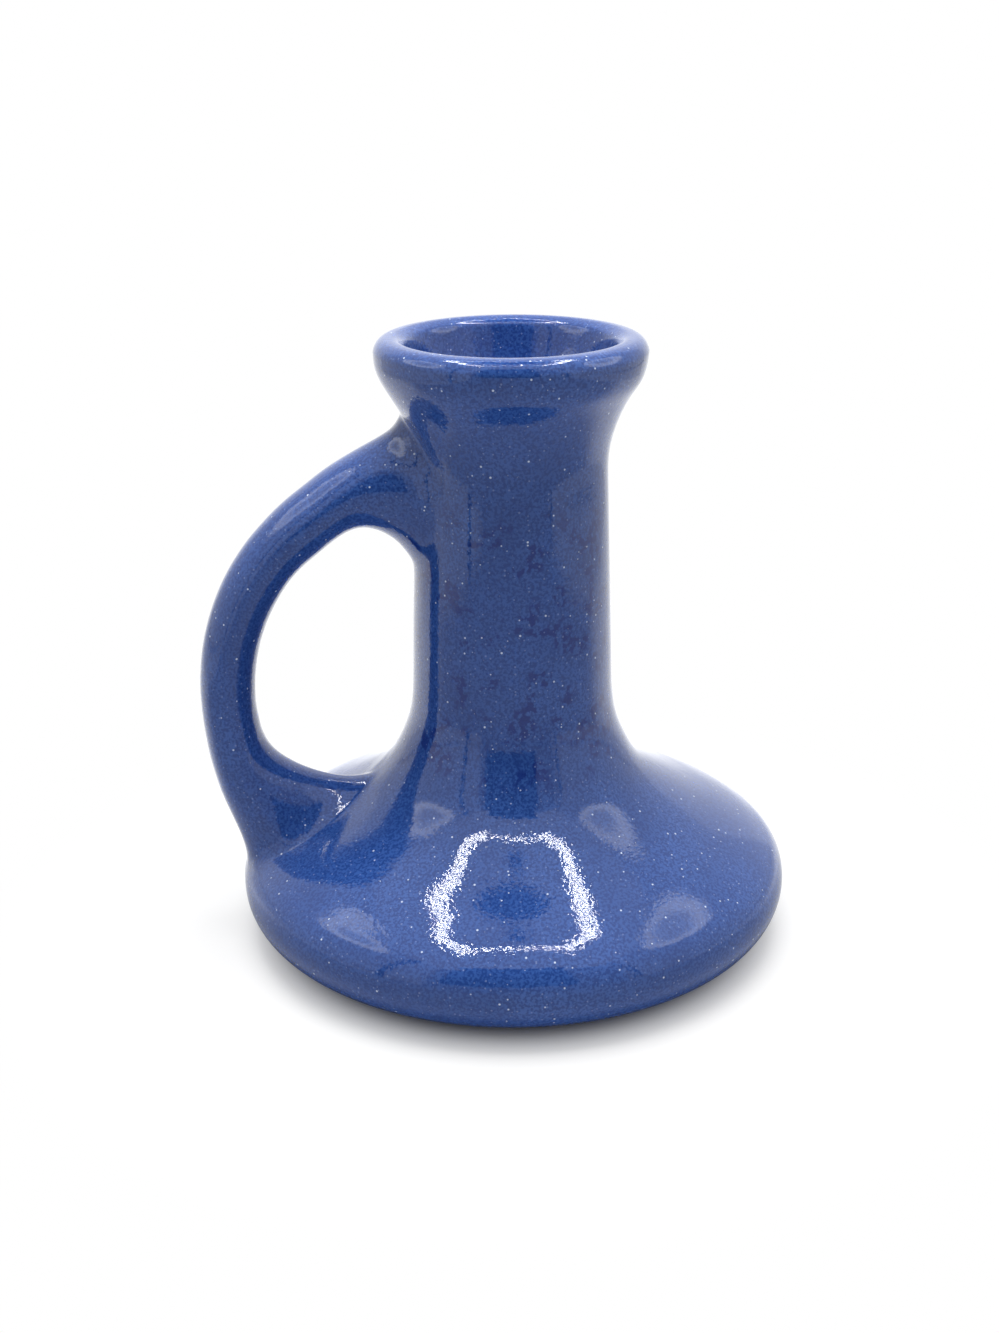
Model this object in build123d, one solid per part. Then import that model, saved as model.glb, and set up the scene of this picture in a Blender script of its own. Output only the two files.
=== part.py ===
from build123d import *
import math
import os

# A chamberstick of glazed stoneware: a hollow squat base, a column with a flared lip that takes
# a candle, and a pulled finger loop. The turned axis is Z, the foot stands on Z = 0 and the loop
# lies along -X. Lengths are in millimetres and angles in degrees. Sizes of the outline are those
# of the finished, glazed pot, and the clay lies one glaze thickness inside it.

# Glaze
glaze_thickness = 0.5
glaze_line_height = 1.3

# Base: foot, rounded edge and sloping shoulder
base_radius = 55.0
foot_inset = 9.8
foot_height = 2.4
foot_step_round = 0.8
edge_under_round = 8.8
edge_over_round = 7.2
edge_height = 16.1
shoulder_slope = 29.0
wall_thickness = 5.5
floor_thickness = 5.0
hollow_round = 3.0
foot_ring_width = 7.0
recess_depth = 2.0
recess_round = 1.5
vent_radius = 1.5
vent_reach = 26.0

# Column: a slightly tapering tube that sweeps out of the shoulder and flares into the lip
sweep_round = 27.0
neck_foot_radius = 20.3
neck_top_radius = 18.2
flare_round = 28.8
flare_lean = 30.0
lip_radius = 25.6
lip_width = 6.0
lip_under_drop = 5.4
lip_under_round = 9.0
lip_round = 2.9
overall_height = 119.7

# Mouth and candle socket, as they are once glazed: from the lip's top down, the mouth narrows
# by its taper, then a funnel leads to the socket, which the plug closes against a ledge
mouth_depth = 10.7
mouth_taper = 1.8
mouth_round = 8.0
funnel_depth = 8.0
socket_radius = 11.5
socket_length = 24.0
socket_ledge = 1.5
plug_thickness = 6.0

# Join of column and base: a little above where the slopes of shoulder and neck would meet,
# with a short tenon, and a coil of clay pressed into the seam
join_rise = 2.7
tenon_depth = 3.0
tenon_thickness = 3.0
seam_coil_height = 8.0

# Finger loop: its centre line leaves the neck at its drop below the lip's top, runs out past
# the base's edge by its overhang, and lands on the shoulder, inside the edge
loop_head_drop = 27.9
loop_overhang = 1.2
loop_landing_inset = 8.8
loop_head_thickness = 11.6
loop_foot_thickness = 10.4
loop_width = 14.4
loop_out_shares = [0.20, 0.459, 0.783, 0.974, 0.989, 0.942]
loop_up_shares = [0.997, 0.938, 0.775, 0.534, 0.325, 0.195]
loop_section_count = 15
head_root_depth = 2.5
foot_root_depth = 4.0

# Clay smoothed round both roots of the loop: how far it runs along the loop, how much it widens
# the root in the plane of the loop and across it, how far the lower one leans into the finger
# gap, and the edge that they end with
head_clay_length = 16.0
head_clay_rise = 7.2
foot_clay_length = 14.0
foot_clay_rise = 5.4
foot_clay_lean = 2.2
clay_side_rise = 1.2
clay_edge = 0.6
clay_section_count = 7

# Every cut passes the surface that it opens by this much
overrun = 5.0

# A rounded corner takes at most this share of the runs beside it
corner_room_share = 0.99

loop_side = Vector(0, 1, 0)
outer_reach = base_radius + overrun
foot_radius = base_radius - foot_inset
mouth_radius = lip_radius - lip_width - mouth_taper
mouth_floor_height = overall_height - mouth_depth - funnel_depth
socket_floor_height = mouth_floor_height - socket_length
hollow_radius = socket_radius + glaze_thickness + socket_ledge
plug_top_height = socket_floor_height - glaze_thickness
plug_under_height = plug_top_height - plug_thickness
shoulder_rise = math.tan(math.radians(shoulder_slope))
shoulder_stretch = 1 / math.cos(math.radians(shoulder_slope))


def shoulder_height(radius):
    """Height of the glazed shoulder's straight slope at this distance from the axis."""
    return edge_height + (base_radius - radius) * shoulder_rise


join_height = shoulder_height(neck_foot_radius) + join_rise


def corner_radii(points, radii):
    """The rounding of each inner corner, held to what the runs beside it have room for."""
    corners = [Vector(*point) for point in points]
    runs = [b - a for a, b in zip(corners, corners[1:])]
    turns = [a.get_angle(b) for a, b in zip(runs, runs[1:])]
    tangents = [r * math.tan(math.radians(turn / 2)) for r, turn in zip(radii, turns)]
    ends = [0, *tangents, 0]
    room = [1 if a + b == 0 else corner_room_share * run.length / (a + b)
            for run, a, b in zip(runs, ends, ends[1:])]
    return [r * min(1, before, after) for r, before, after in zip(radii, room, room[1:])]


def rounded_line(points, radii):
    """A line through the points with its inner corners rounded."""
    return FilletPolyline(*points, radius=corner_radii(points, radii))


def block(inner, outer, low, high):
    """A rectangle of the half section, from one radius to another and one height to another."""
    return Pos(inner, low) * Rectangle(outer - inner, high - low, align=(Align.MIN, Align.MIN))


def turned(half_section):
    """The solid that a half section sweeps round the axis."""
    return revolve(Plane.XZ * half_section, Axis.Z)


def glazed_outline():
    """Half of the finished outline, from under the foot over the lip to the socket's floor."""
    lip_under_height = overall_height - lip_under_drop
    flare_rise = (lip_radius - neck_top_radius) / math.tan(math.radians(flare_lean))
    points = [
        (foot_radius, -overrun),
        (foot_radius, foot_height),
        (base_radius, foot_height),
        (base_radius, edge_height),
        (neck_foot_radius, shoulder_height(neck_foot_radius)),
        (neck_top_radius, lip_under_height - flare_rise),
        (lip_radius, lip_under_height),
        (lip_radius, overall_height),
        (lip_radius - lip_width, overall_height),
        (mouth_radius, overall_height - mouth_depth),
        (socket_radius, mouth_floor_height),
        (socket_radius, socket_floor_height),
        (0, socket_floor_height),
    ]
    radii = [foot_step_round, edge_under_round, edge_over_round, sweep_round, flare_round,
             lip_under_round, lip_round, lip_round, mouth_round, 0, 0]
    return rounded_line(points, radii)


def whole_section():
    """The finished outline and its mirror image, closed under the foot and not hollowed."""
    right = glazed_outline()
    left = mirror(right, about=Plane.YZ)
    under = Line((foot_radius, -overrun), (-foot_radius, -overrun))
    return make_face(Curve() + [right, left, under])


def base_hollow():
    """Half section of the air space inside the base and the lower column."""
    skin = wall_thickness + glaze_thickness
    edge = base_radius - skin
    floor = recess_depth + floor_thickness
    roof_drop = skin * shoulder_stretch
    points = [
        (0, floor),
        (edge, floor),
        (edge, shoulder_height(edge) - roof_drop),
        (hollow_radius, shoulder_height(hollow_radius) - roof_drop),
        (hollow_radius, plug_under_height),
        (0, plug_under_height),
    ]
    outline = rounded_line(points, [hollow_round, hollow_round, hollow_round, 0])
    return make_face(Curve() + [outline, Line(points[-1], points[0])])


def foot_recess():
    """Half section of the shallow hollow that is trimmed under the foot."""
    inner = foot_radius - foot_ring_width
    points = [(inner, -overrun), (inner, recess_depth), (0, recess_depth)]
    outline = rounded_line(points, [recess_round])
    closing = Polyline((0, recess_depth), (0, -overrun), (inner, -overrun))
    return make_face(Curve() + [outline, closing])


glazed_section = whole_section()
clay_section = offset(glazed_section, -glaze_thickness) & block(0, outer_reach, 0, overall_height)
coil_section = clay_section & block(neck_foot_radius, outer_reach,
                                    join_height - seam_coil_height / 2,
                                    join_height + seam_coil_height / 2)
tenon_section = block(hollow_radius, hollow_radius + tenon_thickness,
                      join_height - tenon_depth, join_height) - base_hollow()
plug_section = block(0, hollow_radius, plug_under_height, plug_top_height)
bore_fill = block(0, hollow_radius, 0, mouth_floor_height)
funnel_fill = block(0, mouth_radius, mouth_floor_height, overall_height - mouth_depth)
body_core = turned(clay_section + bore_fill + funnel_fill)


def base_dish():
    """The thrown base: foot ring, floor with its vent, rounded edge, shoulder and collar."""
    section = clay_section & block(0, outer_reach, 0, join_height)
    section = section - coil_section - tenon_section - base_hollow() - foot_recess()
    vent = Pos(vent_reach, 0, recess_depth + floor_thickness / 2)
    return turned(section) - vent * Cylinder(vent_radius, floor_thickness + overrun)


def column():
    """The thrown column with its tenon, neck, flare, lip, mouth and socket wall."""
    section = clay_section & block(0, outer_reach, join_height, overall_height)
    section = section - coil_section - plug_section - base_hollow() + tenon_section
    return turned(section)


def seam_coil():
    """The coil of clay that is pressed into the seam and smoothed to the sweep."""
    return turned(coil_section)


def socket_plug():
    """The disc of clay that closes the column under the candle."""
    return turned(plug_section)


def loop_path():
    """Centre line of the finger loop, in the plane of the turned axis."""
    head_height = overall_height - loop_head_drop
    landing_radius = base_radius - loop_landing_inset
    landing_height = shoulder_height(landing_radius)
    out = base_radius + loop_overhang - neck_top_radius
    up = head_height - landing_height
    between = [(-neck_top_radius - out * out_share, 0, landing_height + up * up_share)
               for out_share, up_share in zip(loop_out_shares, loop_up_shares)]
    head = (-neck_top_radius, 0, head_height)
    landing = (-landing_radius, 0, landing_height)
    return Spline(head, *between, landing)


path = loop_path()


def place_on_loop(distance):
    """The plane square to the loop's centre line at a distance from the neck's surface.

    Before the neck and past the shoulder the line runs on straight, into the body."""
    along = min(max(distance / path.length, 0), 1)
    tangent = path % along
    point = path @ along + tangent * (distance - along * path.length)
    return Plane(origin=point, x_dir=tangent.cross(loop_side), z_dir=tangent)


def loft_on_loop(stations):
    """A solid through ellipses, each given as distance, lean, half thickness and half width."""
    return loft([place_on_loop(distance) * Pos(lean, 0) * Ellipse(thick, wide)
                 for distance, lean, thick, wide in stations])


def loop_half_thickness(distance):
    """Half the glazed loop's thickness at a distance along it."""
    along = min(max(distance / path.length, 0), 1)
    return (loop_head_thickness + (loop_foot_thickness - loop_head_thickness) * along) / 2


def spread(low, high, count):
    """Evenly spaced values from low to high."""
    return [low + (high - low) * step / (count - 1) for step in range(count)]


def loop_solid(skin):
    """The loop with both ends run into the body; skin is the glaze that is left off."""
    distances = spread(-head_root_depth, path.length + foot_root_depth, loop_section_count)
    return loft_on_loop([(distance, 0, loop_half_thickness(distance) - skin, loop_width / 2 - skin)
                         for distance in distances])


def root_clay_solid(along, start, depth, length, rise, skin, lean=0):
    """Clay round one root: widest at the body, and falling to a thin edge along the loop.

    The root lies at start, and along is 1 where the loop's distances grow away from it, or -1."""
    stations = []
    for distance in spread(-depth, length + glaze_thickness - skin, clay_section_count):
        fall = (1 - min(max(distance / length, 0), 1)) ** 2
        place = start + along * distance
        thick = loop_half_thickness(place) + clay_edge + rise * fall - skin
        wide = loop_width / 2 + clay_edge + clay_side_rise * fall - skin
        stations.append((place, lean * fall, thick, wide))
    return loft_on_loop(stations)


def head_clay_solid(skin):
    """The clay at the neck; skin is the glaze that is left off."""
    return root_clay_solid(1, 0, head_root_depth, head_clay_length, head_clay_rise, skin)


def foot_clay_solid(skin):
    """The clay on the shoulder; skin is the glaze that is left off."""
    return root_clay_solid(-1, path.length, foot_root_depth, foot_clay_length, foot_clay_rise,
                           skin, foot_clay_lean)


loop_clay = loop_solid(glaze_thickness)
head_clay = head_clay_solid(glaze_thickness)
foot_clay = foot_clay_solid(glaze_thickness)


def finger_loop():
    """The pulled strap of clay, cut where it meets the neck and the shoulder."""
    return loop_clay - body_core


def upper_handle_clay():
    """Clay smoothed round the loop's head, where it joins the neck."""
    return head_clay - loop_clay - body_core


def lower_handle_clay():
    """Clay smoothed round the loop's foot, where it lands on the shoulder."""
    return foot_clay - loop_clay - body_core


def glaze_coat():
    """The skin of glass over all but the foot, through the mouth and down into the socket."""
    above_foot = block(0, outer_reach, glaze_line_height, overall_height + overrun)
    pot = turned(glazed_section & above_foot)
    clay = turned(clay_section) + loop_clay + head_clay + foot_clay
    return pot + loop_solid(0) + head_clay_solid(0) + foot_clay_solid(0) - clay


nodes = [base_dish, column, seam_coil, socket_plug, finger_loop, upper_handle_clay,
         lower_handle_clay, glaze_coat]

os.makedirs("parts", exist_ok=True)
for node in nodes:
    export_step(node(), f"parts/{node.__name__}.step")
    print(node.__name__)
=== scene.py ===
# %% [markdown]
# # A glazed chamberstick with a finger loop
# The real thing is one fired pot: a squat hollow base, a column that holds a taper candle, and a
# pulled loop for a finger, all under one coat of glossy blue glaze. Its solids exist already, at
# their real size, and they come in here as a fixed frame. Whatever is made below lies in that
# frame, in metres, with the turned axis on Z, the foot on Z = 0 and the loop towards -X.

import math

import bmesh
import bpy
from mathutils import Matrix, Vector
from mathutils.bvhtree import BVHTree
from mathutils.geometry import interpolate_bezier


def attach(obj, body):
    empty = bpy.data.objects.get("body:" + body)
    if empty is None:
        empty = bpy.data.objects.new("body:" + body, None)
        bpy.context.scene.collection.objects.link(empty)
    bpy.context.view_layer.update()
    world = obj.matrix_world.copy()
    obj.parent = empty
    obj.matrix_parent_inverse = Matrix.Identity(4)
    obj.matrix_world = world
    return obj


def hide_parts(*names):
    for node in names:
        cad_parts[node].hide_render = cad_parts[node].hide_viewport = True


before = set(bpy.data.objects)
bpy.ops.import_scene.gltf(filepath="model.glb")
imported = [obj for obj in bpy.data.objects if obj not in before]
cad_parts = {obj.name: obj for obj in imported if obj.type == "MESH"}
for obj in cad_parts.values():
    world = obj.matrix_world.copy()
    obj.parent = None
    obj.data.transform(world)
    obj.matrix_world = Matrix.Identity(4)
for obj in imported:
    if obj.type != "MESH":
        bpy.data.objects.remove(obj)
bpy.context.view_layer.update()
clay_nodes = [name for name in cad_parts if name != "glaze_coat"]
MM = 0.001
print("clay pieces:", ", ".join(clay_nodes))

# %% [markdown]
# ## The camera
# A picture is only comparable when it is taken from the same place, so the camera comes first.
# It could be aimed at the pot by eye. A place, a line of sight and a lens that were fitted to the
# pot's outline give the same perspective instead: from the front, about 21 degrees above the
# table, and close by, so that the mouth and the shoulder show as wide ellipses.

# %% Place the camera
camera = bpy.data.objects.new("camera", bpy.data.cameras.new("camera"))
bpy.context.scene.collection.objects.link(camera)
bpy.context.scene.camera = camera
camera.data.lens = 46.52
camera_place = Vector((-0.02473, -0.31715, 0.1769))
line_of_sight = Vector((0.0651, 0.9308, -0.3598))
camera_roll = Matrix.Rotation(math.radians(-0.44), 3, "Z")
camera_turn = line_of_sight.to_track_quat("-Z", "Y").to_matrix() @ camera_roll
camera.matrix_world = Matrix.Translation(camera_place) @ camera_turn.to_4x4()
print("camera stands", round(camera_place.length, 3), "m from the foot's middle")

# %% [markdown]
# ## Feeling the glaze
# Glaze runs over the joints between the pieces of clay, so that loop and neck look grown together.
# The solid coat has crisp corners there. One skin, modelled as a coarse cage that subdivision
# smooths, can have the same outline and soft roots as well. For the cage to fit within a few
# hundredths of a millimetre, its points aren't typed in: straight feelers measure them on the
# solid coat. From here to the finished cage all lengths are in millimetres.

# %% A feeler
glaze_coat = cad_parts["glaze_coat"]
glaze_tree = BVHTree.FromObject(glaze_coat, bpy.context.evaluated_depsgraph_get())
step_past = 0.05


def touches(start, aim, count=1):
    """The first places that a feeler meets on its way from start towards aim."""
    way = (aim - start).normalized()
    found = []
    while len(found) < count:
        start = glaze_tree.ray_cast(start * MM, way)[0] / MM
        found.append(start)
        start = start + way * step_past
    return found


def touch(start, aim):
    """The first of those places."""
    return touches(start, aim)[0]


print("base from below:", touch(Vector((45.5, 2, -20)), Vector((45.5, 2, 0))))

# %% [markdown]
# ## The outline of the turned pot
# A potter's profile rib has the pot's outline as its edge. The same idea works here: a row of
# points up the outside and into the mouth is all that a turned form needs. The feelers come
# from the side for the foot and the neck, from above for the shoulder, from outside towards the
# middle of a round for the edge and the lip, and from the axis for the mouth. The rows are close
# together where the outline bends. They are measured a little off the plane of the loop's far
# side, because a feeler that runs exactly along the seam of a mesh can slip through it. Runny glaze
# gathers on the slope inside the mouth, so the skin stands up to a millimetre off the solid there.
# Under the lip it is a tenth or two of a millimetre off, as glaze is where it thins and thickens.

# %% Measure the outline
off_seam = Matrix.Rotation(math.radians(4), 3, "Z")


def outline_touch(start, aim):
    """A point of the outline, felt between two points given as radius and height."""
    ends = [off_seam @ Vector((radius, 0, height)) for radius, height in (start, aim)]
    return off_seam.inverted() @ touch(*ends)


def round_touches(middle, reach, degrees):
    """Points of a rounding, felt towards its middle."""
    radius, height = middle
    return [outline_touch((radius + reach * math.cos(math.radians(angle)),
                           height + reach * math.sin(math.radians(angle))), middle)
            for angle in degrees]


foot = [outline_touch((80, height), (0, height)) for height in (1.32, 2.1)]
edge = round_touches((47, 11.5), 30, (-84, -62, -40, -18, 2, 22, 42, 61))
shoulder = [outline_touch((radius, 60), (radius, 0))
            for radius in (48.6, 45.8, 42.9, 39.6, 36.2, 32.7, 29.3)]
neck_heights = (34.5, 39, 44, 50, 58, 67, 76, 84, 92, 100, 108, 112.3)
neck = [outline_touch((60, height), (0, height)) for height in neck_heights]
lip = round_touches((22.6, 116.8), 20, (-12, 15, 42, 68, 90, 112, 138, 165))
mouth = [outline_touch((0, height), (60, height))
         for height in (114, 110.5, 107.2, 104, 101.6, 100.2, 92, 84, 78)]
socket_floor = [outline_touch((radius, 90), (radius, 0)) for radius in (10.6, 6, 0)]
flare_shifts, mouth_shifts = (-0.15, -0.05, 0.2), (-0.4, -1.1, -0.8, -0.2)
for place, shift in zip(neck[-3:] + mouth, flare_shifts + mouth_shifts):
    place.x += shift
rows = foot + edge + shoulder + neck + lip + mouth + socket_floor
print(len(rows), "rows from the glaze line to the socket's floor")

# %% [markdown]
# ## Turning the outline
# A turned form could be a lathe curve or a Screw modifier. The spin operator does the same once
# and for all on the mesh, which is needed here because holes for the roots of the loop are cut
# into it next. Every point carries the number of its row, so that a patch can be found later.

# %% Spin the pot
columns = 40
skin = bmesh.new()
row_of = skin.verts.layers.int.new("row")
profile = [skin.verts.new(place) for place in rows]
for number, vert in enumerate(profile):
    vert[row_of] = number
profile_edges = [skin.edges.new(pair) for pair in zip(profile, profile[1:])]
bmesh.ops.spin(skin, geom=profile + profile_edges, cent=(0, 0, 0), axis=(0, 0, 1),
               angle=math.tau, steps=columns, use_merge=True)
bmesh.ops.remove_doubles(skin, verts=skin.verts, dist=0.01)
bmesh.ops.recalc_face_normals(skin, faces=skin.faces)
skin.normal_update()
print("turned cage:", len(skin.verts), "points,", len(skin.faces), "faces")

# %% [markdown]
# ## Where the loop takes root
# A root needs a hole whose rim has as many points as a section of the loop: 24. Four by eight
# faces come out for each. The rim is then laid out as an egg on the surface of the pot. It runs
# outside the corner between clay and clay, by the width of the hollow that a wet finger leaves
# there. On the inner side of the loop's foot the hollow is a long saddle, up to the neck. To lay
# it out, one has to know how far along the outline a point lies, and to feel the bare pot.

# %% Places on the pot
ring_count = 24
first_upper_row = len(foot) + 5
first_neck_row = len(foot) + len(edge) + len(shoulder)
radius_axis, height_axis = 0, 2
half_turn = Matrix.Rotation(math.pi, 3, "Z")
feeler_start = 3
along_rows = [0.0]
for before, after in zip(rows, rows[1:]):
    along_rows.append(along_rows[-1] + (after - before).length)


def along_at(axis, value):
    """How far along the outline a radius or a height is reached, above the widest place."""
    for number, (before, after) in enumerate(zip(rows, rows[1:])):
        if number >= first_upper_row and (before[axis] - value) * (after[axis] - value) <= 0:
            share = (value - before[axis]) / (after[axis] - before[axis])
            return along_rows[number] + share * (along_rows[number + 1] - along_rows[number])


def pot_point(along, aside):
    """A point on the pot: so far along its outline and so far round from the loop's plane."""
    number = max(i for i, reached in enumerate(along_rows[:-1]) if reached <= along)
    share = (along - along_rows[number]) / (along_rows[number + 1] - along_rows[number])
    place = rows[number].lerp(rows[number + 1], share)
    turn = Matrix.Rotation(math.pi - aside / place.x, 3, "Z")
    return turn @ Vector((place.x, 0, place.z))


def settle(vert):
    """Puts a point back on the pot, and returns the normal there.

    The bare surface is felt on the far side, half a turn on, where nothing is joined to it."""
    outside = half_turn @ (vert.co + vert.normal * feeler_start)
    hit, normal = glaze_tree.ray_cast(outside * MM, half_turn @ -vert.normal)[:2]
    vert.co = half_turn @ hit / MM
    return half_turn @ normal


print("outline is", round(along_rows[-1], 1), "mm long")

# %% Cut the holes
slack = 0.01


def cut_root(first_row, last_row, half_columns, outwards):
    """Takes a patch of faces out and returns the rim's points, in order round the hole.

    The order starts on the loop's outer side: outwards is 1 where that is up the outline, or -1.
    The slack is an angle that keeps rounding errors from losing or misplacing a point."""
    limit = half_columns * math.tau / columns + slack

    def aside(vert):
        return math.atan2(vert.co.y, -vert.co.x)

    patch = [face for face in skin.faces
             if all(first_row <= vert[row_of] <= last_row and abs(aside(vert)) < limit
                    for vert in face.verts)]
    rim = list(dict.fromkeys(vert for face in patch for vert in face.verts))
    bmesh.ops.delete(skin, geom=patch, context="FACES")
    middle = (along_rows[first_row] + along_rows[last_row]) / 2

    def turn_round(vert):
        over = outwards * (along_rows[vert[row_of]] - middle)
        return (math.atan2(aside(vert) * vert.co.xy.length, over) + slack) % math.tau

    return sorted((vert for vert in rim if vert.is_valid), key=turn_round)


head_rim = cut_root(first_neck_row + neck_heights.index(76),
                    first_neck_row + neck_heights.index(108), half_columns=4, outwards=1)
foot_rim = cut_root(first_upper_row + 1, first_neck_row - 1, half_columns=2, outwards=-1)
print("rims of", len(head_rim), "and", len(foot_rim), "points")

# %% Lay the rims
eased_rings, easing_passes = 4, 12
last_eased_row = first_neck_row + len(neck) - 2


def lay_egg(rim, middle, outer_half, inner_half, half_wide, points, outwards):
    """Lays a rim out as an egg on the pot, eases the faces round it, and returns its normals.

    The points say how pointed its outer and its inner end are, from 0 for a round end."""
    for number, vert in enumerate(rim):
        turn = math.tau * number / ring_count
        half_long, point = ((outer_half, points[0]) if math.cos(turn) > 0
                            else (inner_half, points[1]))
        narrowing = 1 - point * abs(math.cos(turn))
        vert.co = pot_point(middle + outwards * half_long * math.cos(turn),
                            half_wide * narrowing * math.sin(turn))
    skin.normal_update()
    for vert in rim:
        settle(vert)
    around = list(rim)
    for step in range(eased_rings):
        around += [edge.other_vert(vert) for vert in around for edge in vert.link_edges]
        around = list(dict.fromkeys(around))
    around = [vert for vert in around[ring_count:] if vert[row_of] <= last_eased_row]
    for step in range(easing_passes):
        bmesh.ops.smooth_vert(skin, verts=around, factor=0.5,
                              use_axis_x=True, use_axis_y=True, use_axis_z=True)
        skin.normal_update()
        for vert in around:
            settle(vert)
    return [settle(vert) for vert in rim]


head_normals = lay_egg(head_rim, along_at(height_axis, 91.8), outer_half=15.6, inner_half=17,
                       half_wide=14, points=(0, 0), outwards=1)
foot_normals = lay_egg(foot_rim, along_at(radius_axis, 45), outer_half=12.8, inner_half=21,
                       half_wide=12.8, points=(0, 0.35), outwards=-1)
print("head rim from height", round(head_rim[12].co.z, 1), "to", round(head_rim[0].co.z, 1), "mm")

# %% [markdown]
# ## The pulled loop
# A pulled strap has an oval section all the way. A bevelled curve would give it one section for
# its whole length; here the loop thins towards its foot and widens into its roots, so it is built
# from rings. A fan of feelers from the middle of the finger gap gives the thickness of the loop in
# 23 places, and one from the side gives its width. The clay smoothed round the roots ends in a
# small step there. Glaze flows over such a step, so the sections near it swell evenly instead,
# slowly at first, and the edge of the gap stays one smooth curve.

# %% Measure the loop's sections
gap_middle = Vector((-34, 0.05, 56))
slow_start = 1.6


def section(angle):
    """Middle of a section of the loop, and from there the way to its outer face and its side."""
    way = Vector((math.cos(math.radians(angle)), 0, math.sin(math.radians(angle))))
    through_both_walls = touches(gap_middle, gap_middle + way, 4)
    inner, outer = through_both_walls[0], through_both_walls[-1]
    middle = (inner + outer) / 2
    side = touch(middle + Vector((0, 30, 0)), middle)
    return middle, (outer - inner) / 2, side - middle


def swell(numbers, half_thick, half_wide):
    """Lets some sections grow evenly, the last one up to a half thickness and a half width."""
    thin, narrow = (part.length for part in sections[numbers[0]][1:])
    for step, number in enumerate(numbers):
        share = (step / (len(numbers) - 1)) ** slow_start
        middle, outward, sideways = sections[number]
        sections[number] = (middle,
                            outward.normalized() * (thin + (half_thick - thin) * share),
                            sideways.normalized() * (narrow + (half_wide - narrow) * share))


sections = [section(85 + 6.25 * step) for step in range(23)]
swell((6, 5, 4, 3, 2, 1, 0), half_thick=7.6, half_wide=7.8)
swell((18, 19, 20, 21, 22), half_thick=6.6, half_wide=7.6)
turns = [math.tau * number / ring_count for number in range(ring_count)]
loop_rings = [[middle + outward * math.cos(turn) + sideways * math.sin(turn) for turn in turns]
              for middle, outward, sideways in sections]
print("loop is", [round(2 * outward.length, 1) for _, outward, _ in sections[::8]], "mm thick")

# %% [markdown]
# ## The hollows at the roots
# Where the loop meets the pot the clay is smoothed into a hollow. A bevel on a sharp corner would
# do it with one radius all round; a real root is drawn out further along the loop than beside it.
# So each of the 24 lines along the loop gets a curve with two handles, one in line with the loop
# and one in the surface of the pot, and both surfaces run into each other without a crease.

# %% Draw the hollows
def hollow_rings(rim, normals, ring, next_ring, count, outer_pulls, inner_pulls):
    """A count of rings of points from the loop's end section down to a rim.

    The pulls are the lengths of both handles, first the loop's and then the pot's."""
    middle = sum((vert.co for vert in rim), Vector()) / ring_count
    lines = []
    for number, vert in enumerate(rim):
        beside = rim[(number + 1) % ring_count].co - rim[number - 1].co
        outwards = normals[number].cross(beside).normalized()
        if outwards.dot(vert.co - middle) < 0:
            outwards.negate()
        outer_share = (1 + math.cos(turns[number])) / 2
        loop_pull, pot_pull = (inner + (outer - inner) * outer_share
                               for inner, outer in zip(inner_pulls, outer_pulls))
        start = ring[number]
        onwards = (start - next_ring[number]).normalized()
        line = interpolate_bezier(start, start + onwards * loop_pull,
                                  vert.co - outwards * pot_pull, vert.co, count + 2)
        lines.append(line[1:-1])
    return [list(places) for places in zip(*lines)]


head_hollow = hollow_rings(head_rim, head_normals, loop_rings[0], loop_rings[1], count=4,
                           outer_pulls=(5, 4.5), inner_pulls=(6, 5))
foot_hollow = hollow_rings(foot_rim, foot_normals, loop_rings[-1], loop_rings[-2], count=6,
                           outer_pulls=(7, 4.5), inner_pulls=(8.5, 5))
print("rings in the hollows:", len(head_hollow), len(foot_hollow))

# %% Bridge the rings
def new_ring(places):
    """A circle of 24 points, put where a section of the loop has them."""
    verts = bmesh.ops.create_circle(skin, segments=ring_count, radius=1)["verts"]
    verts = sorted(verts, key=lambda vert: math.atan2(vert.co.y, vert.co.x))
    for vert, place in zip(verts, places):
        vert.co = place
    return verts


def open_edges(ring):
    """The edges of a ring that still lack a face on one side."""
    edges = dict.fromkeys(edge for vert in ring for edge in vert.link_edges)
    return [edge for edge in edges
            if len(edge.link_faces) < 2 and all(vert in ring for vert in edge.verts)]


rings = [head_rim]
rings += [new_ring(places) for places in head_hollow[::-1] + loop_rings + foot_hollow]
rings.append(foot_rim)
for ring, next_one in zip(rings, rings[1:]):
    bmesh.ops.bridge_loops(skin, edges=open_edges(ring) + open_edges(next_one))
bmesh.ops.recalc_face_normals(skin, faces=skin.faces)
print("whole cage:", len(skin.verts), "points,", len(skin.faces), "faces,",
      sum(edge.is_boundary for edge in skin.edges), "open edges at the glaze line")

# %% [markdown]
# ## Fitting the cage
# Subdivision pulls a surface inside its cage, so a cage that lies on the solid coat gives a pot
# that is too thin. A shrinkwrap could pull the smooth surface back, but it would also press the
# hollows into the corners. Instead the cage itself is moved out by what its smooth surface
# misses, a few times over, until that surface goes through the measured points.
#
# Two small changes to those points come first. All are drawn in by a hair, so that the curves
# between them stay inside the solid's box. And the shoulder gets the slight waves that a potter's
# rib leaves, listed by their distance from the axis. They are less than 0.3 mm high, so nobody
# sees them in the outline, but they bend the reflections in the glaze.

# %% Fit the cage
hair = 0.03
fit_passes = 10
rib_waves = ((54.9, -0.06), (54.4, -0.12), (53, -0.15), (50.8, -0.03), (48.6, 0.18), (45.8, 0.23),
             (42.9, 0.17), (39.6, 0.02), (36.2, 0), (32.7, 0.1), (29.3, -0.01), (25.9, -0.28),
             (22.9, 0))
wave_rows = range(first_upper_row, first_neck_row + 1)


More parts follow.
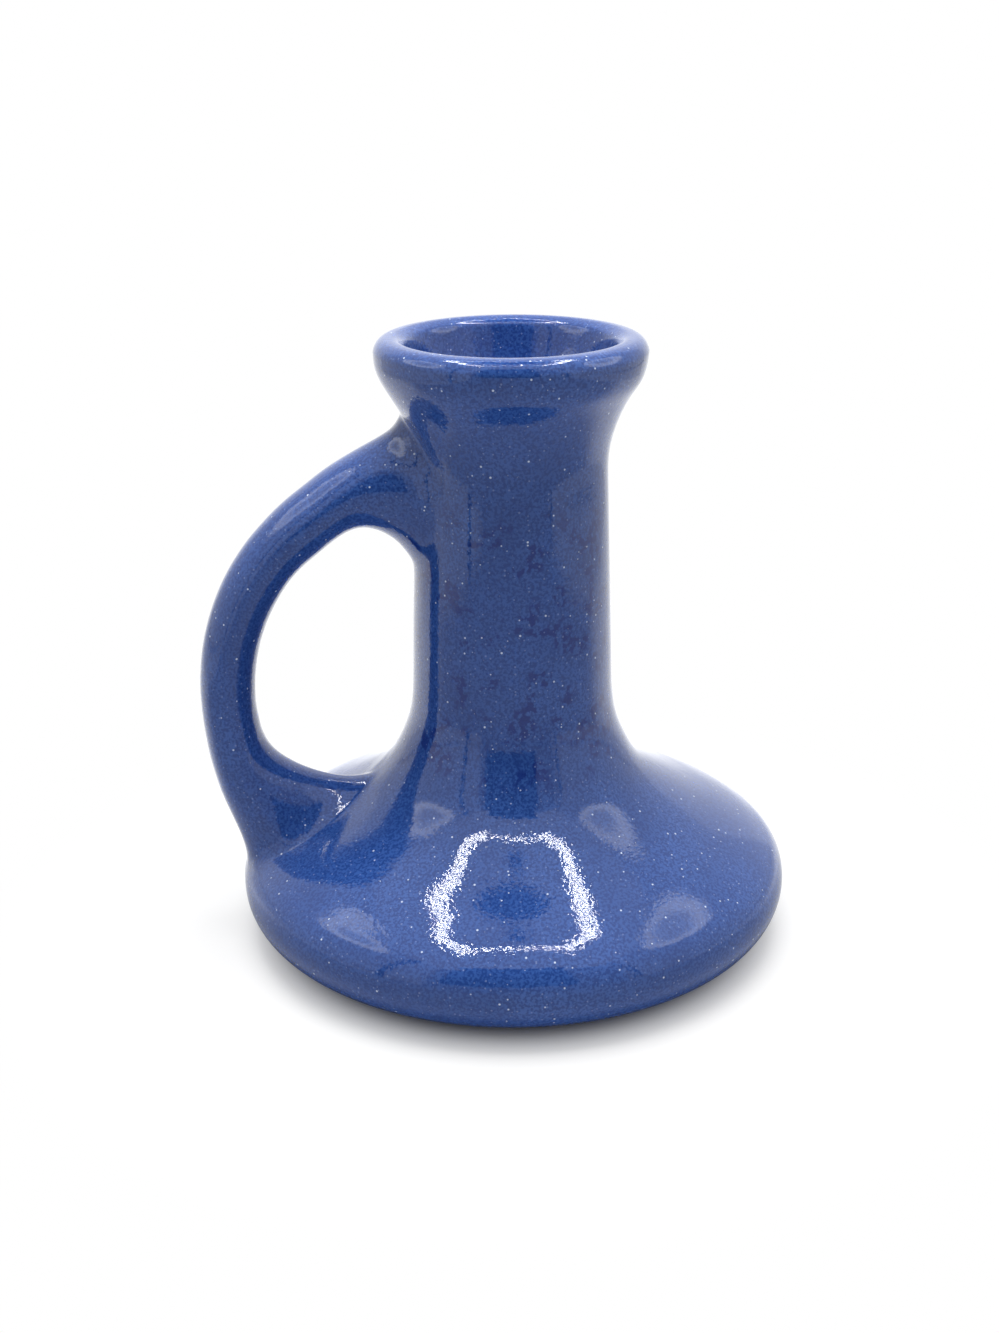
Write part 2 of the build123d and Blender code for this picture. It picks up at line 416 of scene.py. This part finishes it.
def rib_wave(vert):
    """How far the waves lift a point of the shoulder."""
    radius = vert.co.xy.length
    for (outer, outer_lift), (inner, inner_lift) in zip(rib_waves, rib_waves[1:]):
        if vert[row_of] in wave_rows and outer >= radius > inner:
            share = (outer - radius) / (outer - inner)
            return outer_lift + (inner_lift - outer_lift) * share
    return 0


skin.normal_update()
goal = [vert.co + vert.normal * (rib_wave(vert) - hair) for vert in skin.verts]
trial = bpy.data.objects.new("trial", bpy.data.meshes.new("trial"))
bpy.context.scene.collection.objects.link(trial)
trial.modifiers.new("smooth", "SUBSURF")
for fit_pass in range(fit_passes):
    skin.to_mesh(trial.data)
    trial.data.update()
    smooth_mesh = trial.evaluated_get(bpy.context.evaluated_depsgraph_get()).data
    misses = [place - smooth_mesh.vertices[number].co for number, place in enumerate(goal)]
    for vert, miss in zip(skin.verts, misses):
        vert.co += miss
    print("pass", fit_pass, "largest miss", round(max(miss.length for miss in misses), 4), "mm")
bpy.data.meshes.remove(trial.data)

# %% [markdown]
# ## From cage to coat
# The coat is glass with a thickness, so the smooth surface gets an inner wall, a little less than
# the solid coat's half millimetre, so that it stays clear of the clay.

# %% Make the glaze skin
bmesh.ops.scale(skin, vec=(MM, MM, MM), verts=skin.verts)
for face in skin.faces:
    face.smooth = True
glaze_skin = bpy.data.objects.new("glaze_skin", bpy.data.meshes.new("glaze_skin"))
skin.to_mesh(glaze_skin.data)
skin.free()
bpy.context.scene.collection.objects.link(glaze_skin)
smoothing = glaze_skin.modifiers.new("smooth", "SUBSURF")
smoothing.levels = 2
smoothing.render_levels = 2
thickness = glaze_skin.modifiers.new("thickness", "SOLIDIFY")
thickness.thickness = 0.45 * MM
thickness.offset = -1
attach(glaze_skin, "root")
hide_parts("glaze_coat")
made = glaze_skin.evaluated_get(bpy.context.evaluated_depsgraph_get()).data
print("glaze skin:", sum(len(face.vertices) - 2 for face in made.polygons), "triangles")

# %% [markdown]
# ## Wiring a material
# Materials are small networks. A helper that makes a node and fills its sockets, with a value or
# with another node's output, keeps each one short enough to read from top to bottom. Sockets go
# by their names, or by their numbers where two of them have the same name.

# %% Wiring helpers
def start_material(name):
    """An empty material with an output, and its network."""
    material = bpy.data.materials.new(name)
    material.use_nodes = True
    material.node_tree.nodes.clear()
    return material, material.node_tree


def wire(tree, kind, sockets, out=0, **settings):
    """Adds a node, fills its sockets with values or with other nodes' outputs, gives its output."""
    node = tree.nodes.new("ShaderNode" + kind)
    for name, value in settings.items():
        setattr(node, name, value)
    for name, value in sockets.items():
        if isinstance(value, bpy.types.NodeSocket):
            tree.links.new(value, node.inputs[name])
        else:
            node.inputs[name].default_value = value
    return node.outputs[out] if node.outputs else node


def place_on_object(tree):
    """Where a point lies on its own object, in metres."""
    return wire(tree, "TexCoord", {}, out="Object")


def calculate(tree, operation, *values):
    """A number from other numbers, such as their product."""
    return wire(tree, "Math", dict(enumerate(values)), operation=operation)


def measure(tree, operation, *places):
    """A number from one or two places, such as the distance between them."""
    return wire(tree, "VectorMath", dict(enumerate(places)), out="Value", operation=operation)


def mix_colours(tree, share, first, second):
    """The first colour where share is 0, the second where it is 1."""
    return wire(tree, "Mix", {0: share, 6: first, 7: second}, out=2, data_type="RGBA")


def mix_surfaces(tree, share, first, second):
    """The same for surfaces."""
    return wire(tree, "MixShader", {0: share, 1: first, 2: second})


def between(tree, value, low, high, at_low=0.0, at_high=1.0):
    """A soft step: one value up to low, another from high."""
    return wire(tree, "MapRange", {0: value, 1: low, 2: high, 3: at_low, 4: at_high},
                interpolation_type="SMOOTHSTEP")


# %% Pattern helpers
def noise(tree, place, scale, detail):
    """Soft clouds with values round a half; the higher the scale, the smaller they are."""
    return wire(tree, "TexNoise", {"Vector": place, "Scale": scale, "Detail": detail})


def spots(tree, place, scale, size, share):
    """Round spots, in a share of the cells of a grid as fine as scale; size is in cells."""
    soft_part = 0.35
    distance = wire(tree, "TexVoronoi", {"Vector": place, "Scale": scale}, out="Distance")
    chosen = wire(tree, "SeparateColor", {0: distance.node.outputs["Color"]})
    radius = between(tree, chosen, 1 - share, 1.0, 0.0, size)
    return between(tree, calculate(tree, "SUBTRACT", radius, distance), 0.0, size * soft_part)


# %% [markdown]
# ## The blue glaze
# A stoneware glaze coloured with cobalt: deep blue glass, wet-looking, with tiny white specks
# where grains did not melt in, a few dark pits, a slight grain of lighter and darker blue, and
# clusters of navy blotches on the neck. A single blue would look like plastic. Noise at several
# sizes gives the drift of the colour, its grain and the blotches. Cells with a spot in the middle
# give specks and pits. The blotches keep to the neck by limits on height and on the distance from
# the axis.

# %% Colours of the glaze
drift_blues = (0.029, 0.083, 0.305, 1), (0.040, 0.108, 0.375, 1)
grain_blue = (0.013, 0.045, 0.21, 1)
blotch_navy = (0.008, 0.026, 0.18, 1)
fine_speck_blue = (0.2, 0.28, 0.55, 1)
speck_white = (0.55, 0.64, 0.82, 1)
pit_black = (0.004, 0.01, 0.05, 1)
blue_glaze, tree = start_material("blue_glaze")
place = place_on_object(tree)
drift = between(tree, noise(tree, place, 60.0, 3.0), 0.3, 0.7)
grain = between(tree, noise(tree, place, 2000.0, 2.0), 0.40, 0.60, 0.0, 0.8)
blotch = between(tree, noise(tree, place, 700.0, 3.0), 0.46, 0.55)
cluster = between(tree, noise(tree, place, 170.0, 1.0), 0.53, 0.61, 0.0, 0.85)
height = wire(tree, "SeparateXYZ", {0: place}, out="Z")
beside = wire(tree, "VectorMath", {0: place, 1: (1, 1, 0)}, operation="MULTIPLY")
from_axis = measure(tree, "LENGTH", beside)
for limit in (between(tree, height, 0.032, 0.042), between(tree, height, 0.084, 0.096, 1.0, 0.0),
              between(tree, from_axis, 0.022, 0.025, 1.0, 0.0), cluster):
    blotch = calculate(tree, "MULTIPLY", blotch, limit)
fine_specks = calculate(tree, "MULTIPLY", spots(tree, place, 1100.0, 0.26, 0.95), 0.5)
colour = mix_colours(tree, drift, *drift_blues)
for share, next_colour in ((grain, grain_blue), (blotch, blotch_navy),
                           (fine_specks, fine_speck_blue),
                           (spots(tree, place, 600.0, 0.15, 0.9), speck_white),
                           (spots(tree, place, 170.0, 0.05, 0.5), pit_black)):
    colour = mix_colours(tree, share, colour, next_colour)
print("glaze colours:", len(tree.nodes), "nodes")

# %% [markdown]
# ## The gloss of the glaze
# The glass itself is smooth, but its surface isn't quite even. A perfect mirror would show the
# lamps as clean dots. A very shallow bump at two sizes, the orange peel of a fired glaze, breaks
# their reflections into sparks.

# %% Gloss of the glaze
bump = wire(tree, "Bump", {"Height": noise(tree, place, 330.0, 1.0), "Distance": 1.6e-5})
bump = wire(tree, "Bump", {"Height": noise(tree, place, 1300.0, 1.0), "Distance": 2.3e-5,
                           "Normal": bump})
surface = wire(tree, "BsdfPrincipled", {"Base Color": colour, "Roughness": 0.04, "IOR": 1.5,
                                        "Normal": bump})
wire(tree, "OutputMaterial", {"Surface": surface})
glaze_skin.data.materials.append(blue_glaze)
print("glaze network:", len(tree.nodes), "nodes")

# %% [markdown]
# ## The bare clay
# Only the foot shows it: fired stoneware, grey-brown, matt and gritty, with darker grains of iron.

# %% Bare stoneware
clay_browns = (0.26, 0.2, 0.15, 1), (0.36, 0.29, 0.22, 1)
iron_brown = (0.06, 0.035, 0.02, 1)
stoneware, tree = start_material("stoneware")
place = place_on_object(tree)
colour = mix_colours(tree, noise(tree, place, 90.0, 4.0), *clay_browns)
colour = mix_colours(tree, spots(tree, place, 600.0, 0.16, 0.6), colour, iron_brown)
bump = wire(tree, "Bump", {"Height": noise(tree, place, 1400.0, 3.0), "Distance": 6e-5})
surface = wire(tree, "BsdfPrincipled", {"Base Color": colour, "Roughness": 0.85, "Normal": bump})
wire(tree, "OutputMaterial", {"Surface": surface})
for name in clay_nodes:
    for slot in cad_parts[name].material_slots:
        slot.material = stoneware
print("clay network:", len(tree.nodes), "nodes")

# %% [markdown]
# ## The floor
# The pot stands on a plain white table. One white can't do all that is asked of it, so the floor
# answers each kind of ray in its own way. The camera sees white paper round the foot, with the
# pot's shadow on it, that fades into a blank page within a few centimetres. Diffuse light bounces
# off a duller white. The glaze mirrors a floor with painted shade: grey in front, for a calm neck
# and edge, and white behind, which gives the pot its pale outline.

# %% Floor
def put_mesh(name, shape, material):
    """An object of the studio, which isn't part of the pot."""
    mesh = bpy.data.meshes.new(name)
    shape.to_mesh(mesh)
    shape.free()
    mesh.materials.append(material)
    made = bpy.data.objects.new(name, mesh)
    bpy.context.scene.collection.objects.link(made)
    return made


floor_white, tree = start_material("floor_white")
place = place_on_object(tree)
behind = wire(tree, "SeparateXYZ", {0: place}, out="Y")
from_foot = measure(tree, "LENGTH", place)
bounced = wire(tree, "BsdfDiffuse", {"Color": (0.72, 0.72, 0.72, 1)})
# What the glaze mirrors: painted shade, grey in front and white behind.
mirrored_floor_painted_shade = wire(tree, "BsdfDiffuse", {"Color": between(tree, behind, -0.02, 0.06, 0.48, 1.0)})
paper = wire(tree, "BsdfDiffuse", {"Color": (0.9, 0.9, 0.9, 1)})
blank = wire(tree, "Emission", {"Color": (1, 1, 1, 1), "Strength": 1.0})
fade = calculate(tree, "ADD", between(tree, from_foot, 0.0445, 0.0575, 0.0, 0.7),
                 between(tree, from_foot, 0.054, 0.11, 0.0, 0.3))
seen = mix_surfaces(tree, fade, paper, blank)
glossy_ray = wire(tree, "LightPath", {}, out="Is Glossy Ray")
camera_ray = wire(tree, "LightPath", {}, out="Is Camera Ray")
unseen = mix_surfaces(tree, glossy_ray, bounced, mirrored_floor_painted_shade)
wire(tree, "OutputMaterial", {"Surface": mix_surfaces(tree, camera_ray, unseen, seen)})
shape = bmesh.new()
bmesh.ops.create_grid(shape, x_segments=1, y_segments=1, size=6)
put_mesh("floor", shape, floor_white)
print("floor network:", len(tree.nodes), "nodes")

# %% [markdown]
# ## The light tent
# A glossy glaze shows less of itself than of what stands round it. Here that is a small light
# tent. It could also light the pot, but then every change to a reflection would change the
# shading too. So its parts are there for mirror reflections alone: white cloth, a dark opening in
# front, a sill along three walls, poles, and a round hole and a hook in the ceiling. Two softly
# lit patches on the sides and a frame of small white lamps follow.

# %% Tent helpers
def shine(material, tree, level):
    """Makes a material that only shines. No light is sampled from it: it is for mirrors."""
    wire(tree, "OutputMaterial", {"Surface": wire(tree, "Emission", {"Strength": level})})
    material.cycles.emission_sampling = "NONE"
    return material


def glow(name, level):
    """A material that shines evenly."""
    return shine(*start_material(name), level)


def only_mirrored(studio_piece):
    """Lets the glaze mirror a piece of the studio, and nothing else see it."""
    studio_piece.visible_camera = False
    studio_piece.visible_diffuse = False
    studio_piece.visible_shadow = False
    studio_piece.visible_transmission = False


def block(name, low, high, level):
    """A box-shaped part of the tent, from one corner to the opposite one."""
    low, high = Vector(low), Vector(high)
    shape = bmesh.new()
    bmesh.ops.create_cube(shape, size=1)
    bmesh.ops.scale(shape, vec=high - low, verts=shape.verts)
    bmesh.ops.translate(shape, vec=(low + high) / 2, verts=shape.verts)
    only_mirrored(put_mesh(name, shape, glow(name, level)))


def disc(name, middle, radius, material, wall=False):
    """A round part of the tent, flat under the ceiling or upright on a side wall."""
    shape = bmesh.new()
    bmesh.ops.create_circle(shape, cap_ends=True, segments=48, radius=radius)
    if wall:
        bmesh.ops.rotate(shape, cent=(0, 0, 0), verts=shape.verts,
                         matrix=Matrix.Rotation(math.radians(90), 3, "Y"))
    bmesh.ops.translate(shape, vec=middle, verts=shape.verts)
    only_mirrored(put_mesh(name, shape, material))


# %% Light tent for reflections
half_width, front, back, ceiling = 0.25, -0.33, 0.25, 0.42
thin = 0.002
cloth_level, side_level, front_level = 1.28, 1.0, 0.55
opening_level, hole_level, shade_level, pole_level = 0.03, 0.05, 0.85, 0.1
sill_low, sill_high = 0.035, 0.041
front_sill_level, side_sill_level = 0.25, 0.6
block("ceiling_cloth", (-half_width, front, ceiling), (half_width, back, ceiling + thin),
      cloth_level)
block("back_cloth", (-half_width, back, 0), (half_width, back + thin, ceiling), cloth_level)
block("front_cloth", (-half_width, front - thin, 0), (half_width, front, ceiling), front_level)
block("opening", (-0.20, front, 0.07), (0.11, front + thin, ceiling), opening_level)
block("opening_top", (-0.17, front, ceiling - thin), (0.11, -0.26, ceiling), opening_level)
block("sill", (-half_width, front, sill_low), (half_width, front + thin, sill_high),
      front_sill_level)
for side in (-1, 1):
    block("side_cloth_%d" % side, (side * half_width, front, 0),
          (side * (half_width + thin), back, ceiling), side_level)
    block("sill_%d" % side, (side * half_width, front, sill_low),
          (side * (half_width - thin), back, sill_high), side_sill_level)
block("pole_left", (-half_width, -0.197, 0), (-half_width + thin, -0.179, ceiling), pole_level)
block("pole_right", (half_width - thin, -0.3, 0), (half_width, -0.282, ceiling), pole_level)
disc("ceiling_hole", (0.002, 0.059, ceiling - thin), 0.072, glow("ceiling_hole", hole_level))
disc("hook_shade", (0.002, -0.047, ceiling - 2 * thin), 0.024, glow("hook_shade", shade_level))
disc("hook", (0.002, -0.047, ceiling - 3 * thin), 0.012, glow("hook", hole_level))

# %% Soft patches on the side walls
patch_radius, patch_level = 0.118, 2.2


def ring_glow(name, middle, radius):
    """Light that is brightest in a soft ring and fades out over the cloth."""
    material, tree = start_material(name)
    away = measure(tree, "DISTANCE", place_on_object(tree), middle)
    rise = between(tree, away, 0.3 * radius, 0.7 * radius, 0.35, 1.0)
    fall = between(tree, away, 0.75 * radius, radius, 1.0, 0.0)
    ring = calculate(tree, "MULTIPLY", rise, fall)
    level = calculate(tree, "MULTIPLY_ADD", ring, patch_level, side_level)
    return shine(material, tree, level)


for side, patch_y, patch_z in ((-1, 0.0, 0.30), (1, -0.01, 0.31)):
    patch_middle = (side * (half_width - thin), patch_y, patch_z)
    patch_name = "side_patch_%d" % side
    disc(patch_name, patch_middle, patch_radius,
         ring_glow(patch_name, patch_middle, patch_radius), wall=True)
    print(patch_name, "at", patch_middle)

# %% [markdown]
# ## The frame of small lamps
# Under the tent's ceiling hangs a frame of small white lamps, and the glaze mirrors it on the
# shoulder as a ring of sparks. One glowing band would look like a neon tube. Single lamps leave
# dark gaps between them, and the bump of the glaze scatters light and dark into sparks. There is
# one row in front and at the back, and three rows side by side on the left and the right.

# %% Frame of small lamps
lamp_path = [Vector(corner) for corner in
             ((-0.094, -0.1), (0.094, -0.1), (0.132, -0.045), (0.118, 0.02), (0.13, 0.075),
              (0.092, 0.13), (-0.092, 0.13), (-0.13, 0.075), (-0.118, 0.02), (-0.132, -0.045))]
lamp_gap, lamp_radius, row_gap, lamp_level = 0.0115, 0.0032, 0.0105, 65.0
lamp_height = Vector((0, 0, ceiling - 0.01))
path_middle = sum(lamp_path, Vector((0, 0))) / len(lamp_path)
shape = bmesh.new()
for start, end in zip(lamp_path, lamp_path[1:] + lamp_path[:1]):
    lamp_rows = (-1, 0, 1) if start.x * end.x > 0 else (0,)
    count = round((end - start).length / lamp_gap)
    for number in range(count):
        spot = start.lerp(end, number / count)
        for row in lamp_rows:
            outward = (spot - path_middle).normalized() * row_gap * row
            where = Matrix.Translation((spot + outward).to_3d() + lamp_height)
            bmesh.ops.create_circle(shape, cap_ends=True, segments=8, radius=lamp_radius,
                                    matrix=where)
print("small lamps:", len(shape.faces))
only_mirrored(put_mesh("small_lamps", shape, glow("small_lamps", lamp_level)))

# %% [markdown]
# ## The light that falls on the pot
# Mirror images don't light anything. The soft lamp overhead and the world do, and the glaze
# mirrors neither: the lamp is hidden from it, and the closed tent hides the world. The world gets
# brighter from the horizon up, and the camera sees it as a plain white page.

# %% Soft lamp
light = bpy.data.lights.new("soft_lamp", "AREA")
light.size = 0.4
light.energy = 5.8
soft_lamp = bpy.data.objects.new("soft_lamp", light)
soft_lamp.location = (0, 0.02, 0.7)
soft_lamp.visible_glossy = False
soft_lamp.visible_camera = False
bpy.context.scene.collection.objects.link(soft_lamp)
print("soft lamp hangs at", [round(c, 2) for c in soft_lamp.location])

# %% World
world = bpy.data.worlds.new("world")
bpy.context.scene.world = world
world.use_nodes = True
tree = world.node_tree
tree.nodes.clear()
direction = wire(tree, "TexCoord", {})
upwards = wire(tree, "SeparateXYZ", {0: direction}, out="Z")
level = between(tree, upwards, -0.1, 1.0, 0.12, 0.5)
sky = wire(tree, "Background", {"Color": (1, 1, 1, 1), "Strength": level})
page = wire(tree, "Background", {"Color": (1, 1, 1, 1), "Strength": 1.0})
camera_ray = wire(tree, "LightPath", {}, out="Is Camera Ray")
wire(tree, "OutputWorld", {"Surface": mix_surfaces(tree, camera_ray, sky, page)})
bpy.context.scene.view_settings.view_transform = "Standard"
print("world network:", len(tree.nodes), "nodes")
